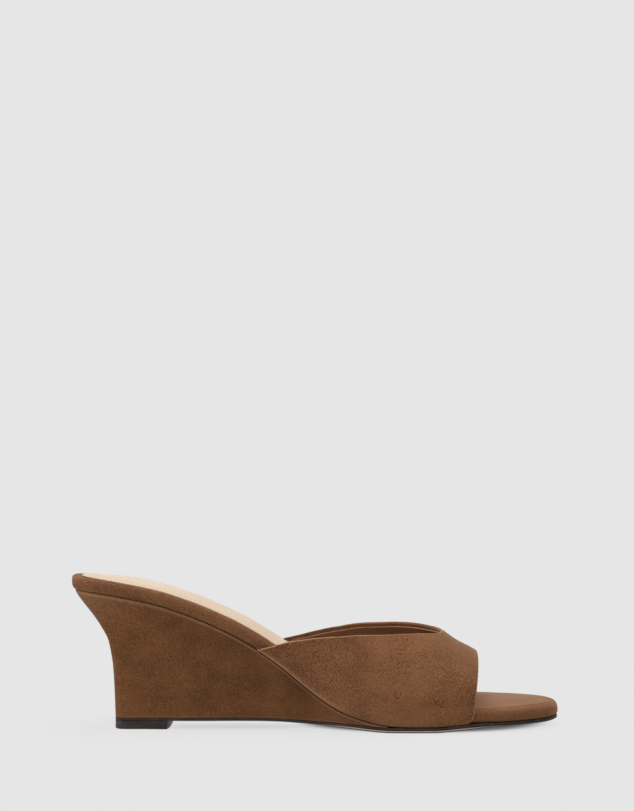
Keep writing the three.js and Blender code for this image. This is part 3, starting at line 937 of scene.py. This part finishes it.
def last_face(x, turn):
    """Outer face of the upper: turn is 0 at the lateral seam, 1 at the ridge, 2 at the medial seam."""
    side = np.where(turn <= 1, LATERAL, MEDIAL)
    climb = np.where(turn <= 1, turn, 2 - turn)
    half = np.where(side == LATERAL, bed_half(x, LATERAL), bed_half(x, MEDIAL)) + GAP + WALL
    ridge = INSTEP_RISE * ridge_share(x)
    low = climb < LOW_TURN
    share = np.clip(climb / LOW_TURN, 0, 1)
    height = BELT * share
    under = np.maximum(0, 1 - height / (BED_BULGE * FOOTBED * steepness(x)))
    hem = HEM_ROUND * (1 - np.sqrt(1 - np.clip(1 - height / HEM_ROUND, 0, 1) ** 2))
    low_y = midline(x) + side * (half + bulge(x, climb) - tuck(x) * under**2 - hem)
    angle = np.clip((climb - LOW_TURN) / (1 - LOW_TURN), 0, 1) * (math.pi / 2)
    out = np.maximum(0, np.cos(angle)) ** (2 / ARCH_POWER)
    up = np.sin(angle) ** (2 / ARCH_POWER)
    high_y = midline(x) + side * half * out + CREST_SHIFT * (1 - out)
    y = np.where(low, low_y, high_y)
    z = seam(x) + np.where(low, height, mix(BELT, ridge, up))
    return np.stack([x, y, z], -1)


HALVINGS = 40


def topline_at(turn):
    """Place along the shoe where the back edge of the upper crosses each line of the last."""
    back = np.full_like(turn, TIP)
    front = np.full_like(turn, FRONT)
    for _ in range(HALVINGS):
        middle = (back + front) / 2
        along = (middle - TIP) / (CREST - TIP)
        line = np.where(turn <= 1, topline[LATERAL](along), topline[MEDIAL](along))
        over = last_face(middle, turn)[..., 2] - seam(middle) - TOPLINE_RISE * line
        back = np.where(over > 0, middle, back)
        front = np.where(over > 0, front, middle)
    return back


def opening_at(turn):
    """Place along the shoe of the front edge of the upper."""
    return HEEL + opening(np.where(turn <= 1, turn, 2 - turn)) * LENGTH


NUDGE = 0.05  # step along the shoe over which a slope of the last is measured
NUDGE_TURN = 0.002  # the same around it


def unit(vectors):
    return vectors / np.linalg.norm(vectors, axis=-1, keepdims=True)


def inward(x, turn):
    """Direction square to the last, into the shoe."""
    along = last_face(x + NUDGE, turn) - last_face(x - NUDGE, turn)
    ahead = last_face(x, np.minimum(turn + NUDGE_TURN, 2))
    behind = last_face(x, np.maximum(turn - NUDGE_TURN, 0))
    return unit(np.cross(ahead - behind, along))


FOLD = 2.0  # suede turned in over the lining
LINING_THICK = 0.5
CORNER = 0.5  # rounding of the wall's edge
OFFSET_STEPS = 4
HEM_TURN = 0.15  # nearer the seam than this, points slide along the edge and stay on the seam


def offset(x, turn, distance, forward):
    """Points on the last at a distance from an edge, measured square to the edge."""
    edge_tangent = unit(np.gradient(last_face(x, turn), axis=0))
    hem = 1 - smooth(np.minimum(turn, 2 - turn), 0.0, HEM_TURN)
    for _ in range(OFFSET_STEPS):
        step_turn = np.where(turn < 1, NUDGE_TURN, -NUDGE_TURN)
        along = (last_face(x + NUDGE, turn) - last_face(x - NUDGE, turn)) / (2 * NUDGE)
        around = (last_face(x, turn + step_turn) - last_face(x, turn)) / step_turn[:, None]
        normal = unit(np.cross(along, around))
        square = np.cross(normal, edge_tangent)
        square = square * np.sign(np.sum(square * along, -1) * forward)[:, None]
        frame_axes = np.stack([along, around], -1)
        solve = np.linalg.pinv(frame_axes)
        step = np.einsum("nij,nj->ni", solve, square) * distance / OFFSET_STEPS
        slide = np.einsum("nij,nj->ni", solve, edge_tangent)
        turned = np.where(abs(slide[:, 1]) > 1e-9, slide[:, 1], 1)
        step = step - (hem * step[:, 1] / turned)[:, None] * slide
        x = x + step[:, 0]
        turn = np.clip(turn + step[:, 1], 0, 2)
    return x, turn


def wall_edge():
    """Section of the wall's edge as (distance in, depth): outer corner, folded edge, lining's cut edge."""
    angles = np.linspace(0, math.pi / 2, 6)
    inside = WALL - LINING_THICK
    outer = [(CORNER * (1 - math.sin(a)), CORNER * (1 - math.cos(a))) for a in angles]
    inner = [(CORNER * (1 - math.cos(a)), inside - CORNER * (1 - math.sin(a))) for a in angles]
    fold = [(FOLD * 0.5, inside), (FOLD, inside)]
    lining = [(FOLD + 0.03, WALL - 0.06), (FOLD + 0.3, WALL)]
    return outer + inner + fold + lining


# Order of the upper's materials
FACE = 0
INNER = 1
CUT = 2
# The rounded outer corner of the edges, in paler suede: a painted rim highlight
LIT_RIM = 3
HEM_FACE = 0.03  # turn below which the edges wear the face's material


def upper():
    hem_rows = [0, 0.003, 0.01, 0.022, 0.04, 0.065, 0.095]
    low = LOW_TURN * np.concatenate((hem_rows, np.linspace(0.13, 0.95, 16)))
    arch = LOW_TURN + (1 - LOW_TURN) * np.linspace(0, 1, 80) ** 1.05
    climb = np.concatenate((low, arch))
    turns = np.concatenate((climb, 2 - climb[::-1][1:]))
    edges = {1: topline_at(turns), -1: opening_at(turns)}
    body = np.linspace(0, 1, 92)[1:-1]
    profile = wall_edge()

    def at(place, depth):
        x, turn = place
        deeper = 1 + stand_off(x, np.minimum(turn, 2 - turn)) / WALL
        return last_face(x, turn) + inward(x, turn) * depth * deeper[:, None]

    def edge_rows(forward):
        return [at(offset(edges[forward], turns, d, forward), depth) for d, depth in profile]

    def between(distance, depth):
        back = offset(edges[1], turns, distance, 1)
        front = offset(edges[-1], turns, distance, -1)
        return [at((mix(back[0], front[0], s), mix(back[1], front[1], s)), depth) for s in body]

    outer = between(profile[0][0], 0.0)
    inner = between(profile[-1][0], WALL)
    back_edge = edge_rows(1)
    front_edge = edge_rows(-1)
    loop = outer + front_edge + inner[::-1] + back_edge[::-1] + outer[:1]
    suede_rows = len(profile) - 3
    # Rows round the edge's outer corner get the painted rim highlight
    lit_rim_rows = 5
    edge_slots = [LIT_RIM] * lit_rim_rows + [FACE] * (suede_rows - lit_rim_rows) + [CUT, INNER]
    slots = [FACE] * len(outer) + edge_slots + [INNER] * (len(inner) + 1) + edge_slots[::-1] + [FACE]
    slots = np.repeat(np.array(slots)[:, None], len(turns) - 1, axis=1)
    near_hem = np.minimum(turns, 2 - turns)[:-1] < HEM_FACE
    slots[(slots >= CUT) & near_hem] = FACE
    grids = [(np.stack(loop), True, slots)]
    half = len(profile) // 2
    outside = back_edge[:half][::-1] + outer + front_edge[:half]
    inside = back_edge[half:] + inner + front_edge[half:][::-1]
    for column, outward in ((0, False), (-1, True)):
        strip = np.stack([[row[column] for row in outside], [row[column] for row in inside]], 1)
        grids.append((strip, outward, FACE))

    # Painted highlight: a pale band along the hem where its soft roll would catch the light, fading out
    # along the shank
    def painted_light_share(x, y, z):
        above = np.maximum(z - seam(x) - HEM_ROUND, 0)
        along = np.clip((x - TIP) / (LIP_FADE - TIP), 0, 1)
        fade = 1 - smooth(x, mix(TIP, LIP_FADE, 0.65), LIP_FADE + LIP_TAIL)
        return 0.42 * band(above, 0.0, mix(1.1, LIP_HIGH, along)) * fade

    piece = make_mesh("upper_band", grids, [UPPER_SUEDE, LINING, RAW_EDGE, RIM_HIGHLIGHT_SUEDE])
    paint_light(piece, painted_light_share)
    dress(piece, "upper")


footbed()
sock("seat_sock", "heel_sock", HEEL + SOCK_SETBACK, SOCK_SPLIT,
     thick=0.45, edge=0.35, material=SOCK_LEATHER)
sock("toe_end_sock", "toe_sock", SOCK_SPLIT, TOE,
     thick=0.3, edge=1.5, material=TOE_SUEDE)
wedge()
outsole()
heel_tap()
upper()


# Floor and backdrop: one pale sweep that glows evenly, so that no horizon shows
BACKDROP_GLOW = 0.791
FLOOR_GLOW = 0.735  # near the shoe
FLOOR_SHADE = 0.05  # base colour near the shoe, for the shadow that it catches
SWEEP_WIDE = 6000.0  # to each side of the shoe
SWEEP_NEAR = 4000.0  # in front of it
SWEEP_FAR = 2600.0  # where the floor starts to bend up
SWEEP_BEND = 1500.0
SWEEP_HIGH = 6000.0


def soft_spot(shader, middle, reach, start, end):
    """1 inside an ellipse on the floor, falling to 0 from start to end of its reach."""
    ellipse = shader.tree.nodes.new("ShaderNodeMapping")
    ellipse.vector_type = "TEXTURE"
    ellipse.inputs["Location"].default_value = (middle[0] * MM, middle[1] * MM, 0)
    ellipse.inputs["Scale"].default_value = (reach[0] * MM, reach[1] * MM, 1)
    shader.tree.links.new(shader.place, ellipse.inputs["Vector"])
    length = shader.tree.nodes.new("ShaderNodeVectorMath")
    length.operation = "LENGTH"
    shader.tree.links.new(ellipse.outputs["Vector"], length.inputs[0])
    share = shader.ramp(length.outputs["Value"], start, end, 1.0, 0.0)
    share.node.interpolation_type = "SMOOTHSTEP"
    return share


def floor_material():
    """Pale floor with a painted contact shadow under the tread and a fainter one under the arch."""
    shader = Shader("pale_floor")
    shader.set(Roughness=1.0, Specular_IOR_Level=0.0, Emission_Color=(1.0, 1.0, 1.0, 1.0))
    near = soft_spot(shader, (0, 0), (1000, 1000), 0.35, 1.0)
    tread = soft_spot(shader, (52, 2), (63, 41), 0.76, 1.02)
    arch = soft_spot(shader, (-40, -13), (66, 15), 0.2, 1.0)
    glow = shader.ramp(near, 0, 1, BACKDROP_GLOW, FLOOR_GLOW)
    glow = shader.math("MULTIPLY", glow, shader.ramp(tread, 0, 1, 1.0, 0.2))
    glow = shader.math("MULTIPLY", glow, shader.ramp(arch, 0, 1, 1.0, 0.86))
    shader.link(glow, "Emission Strength")
    shader.link(shader.ramp(near, 0, 1, 0.0, FLOOR_SHADE), "Base Color")
    return shader.material


def stage():
    """Sweep behind the shoe, and a screen around its other sides that only the camera sees."""
    material = floor_material()
    angles = np.linspace(0, math.pi / 2, 24)[1:]
    back = SWEEP_FAR + SWEEP_BEND
    profile = [(y, 0.0) for y in np.linspace(-SWEEP_NEAR, SWEEP_FAR, 12)]
    profile += [(SWEEP_FAR + SWEEP_BEND * math.sin(a), SWEEP_BEND * (1 - math.cos(a))) for a in angles]
    profile.append((back, SWEEP_HIGH))
    rows = [[(x, y, z) for y, z in profile] for x in np.linspace(-SWEEP_WIDE, SWEEP_WIDE, 8)]
    floor = make_mesh("floor", [(np.array(rows), True, 0)], [material])
    corners = [(-SWEEP_WIDE, back), (-SWEEP_WIDE, -SWEEP_NEAR)]
    corners += [(SWEEP_WIDE, -SWEEP_NEAR), (SWEEP_WIDE, back)]
    walls = np.array([[(x, y, 0.0), (x, y, SWEEP_HIGH)] for x, y in corners])
    screen = make_mesh("screen", [(walls, True, 0)], [material])
    screen.visible_diffuse = screen.visible_glossy = screen.visible_shadow = False
    return floor


FLOOR = stage()


# Lights, in metres: softboxes for the shoe alone, and a wide soft sun for the shadow on the floor
def linked(name, floor_too):
    """Collection that a lamp lights: everything but the floor, or the floor alone."""
    group = bpy.data.collections.new(name)
    group.objects.link(FLOOR)
    group.collection_objects[0].light_linking.link_state = "INCLUDE" if floor_too else "EXCLUDE"
    return group


def area_light(name, place, target, size, power):
    light = bpy.data.lights.new(name, "AREA")
    light.shape = "RECTANGLE"
    light.size, light.size_y = size
    light.energy = power
    lamp = bpy.data.objects.new(name, light)
    lamp.location = place
    lamp.rotation_euler = (Vector(target) - Vector(place)).to_track_quat("-Z", "Y").to_euler()
    lamp.light_linking.receiver_collection = linked(name + "_receivers", floor_too=False)
    bpy.context.scene.collection.objects.link(lamp)


def floor_sun(power):
    light = bpy.data.lights.new("floor_sun", "SUN")
    light.energy = power
    light.angle = math.radians(45)
    lamp = bpy.data.objects.new("floor_sun", light)
    lamp.rotation_euler = (math.radians(-12), 0, 0)
    lamp.light_linking.receiver_collection = linked("floor_sun_receivers", floor_too=True)
    bpy.context.scene.collection.objects.link(lamp)


area_light("top_softbox", (0.05, 0.1, 1.5), (0, 0, 0), (1.6, 1.2), 30)
area_light("left_softbox", (-1.6, -0.6, 0.45), (0, 0, 0.03), (0.8, 0.8), 14.5)
area_light("right_softbox", (1.5, -0.9, 0.9), (0, 0, 0.03), (1.0, 1.0), 1.5)
area_light("front_softbox", (0.1, -2.0, 1.2), (0, 0, 0.03), (1.6, 1.0), 8)
floor_sun(2.6)

world = bpy.data.worlds.new("studio")
world.use_nodes = True
world.node_tree.nodes["Background"].inputs["Color"].default_value = (1, 1, 1, 1)
world.node_tree.nodes["Background"].inputs["Strength"].default_value = 0.25
bpy.context.scene.world = world
bpy.context.scene.view_settings.view_transform = "Standard"


# Camera: the photograph's view of the outer side, from a little above
def photo_camera():
    pixels_per_mm = 2.042
    distance = 1150.0
    elevation = math.radians(5.417)
    aim = Vector((0, 0, 38.0))
    aim_pixel = (314.94, 644.94)
    focal = pixels_per_mm * distance
    data = bpy.data.cameras.new("photo_camera")
    data.sensor_width = 36.0
    data.lens = focal * data.sensor_width / IMAGE_HEIGHT
    data.clip_end = 50.0
    camera = bpy.data.objects.new("photo_camera", data)
    camera.location = (aim + distance * Vector((0, -math.cos(elevation), math.sin(elevation)))) * MM
    pitch = math.atan2(aim_pixel[1] - IMAGE_HEIGHT / 2, focal)
    yaw = math.atan2(aim_pixel[0] - IMAGE_WIDTH / 2, focal)
    camera.rotation_euler = (math.pi / 2 - elevation + pitch, 0, yaw)
    bpy.context.scene.collection.objects.link(camera)
    bpy.context.scene.camera = camera


photo_camera()
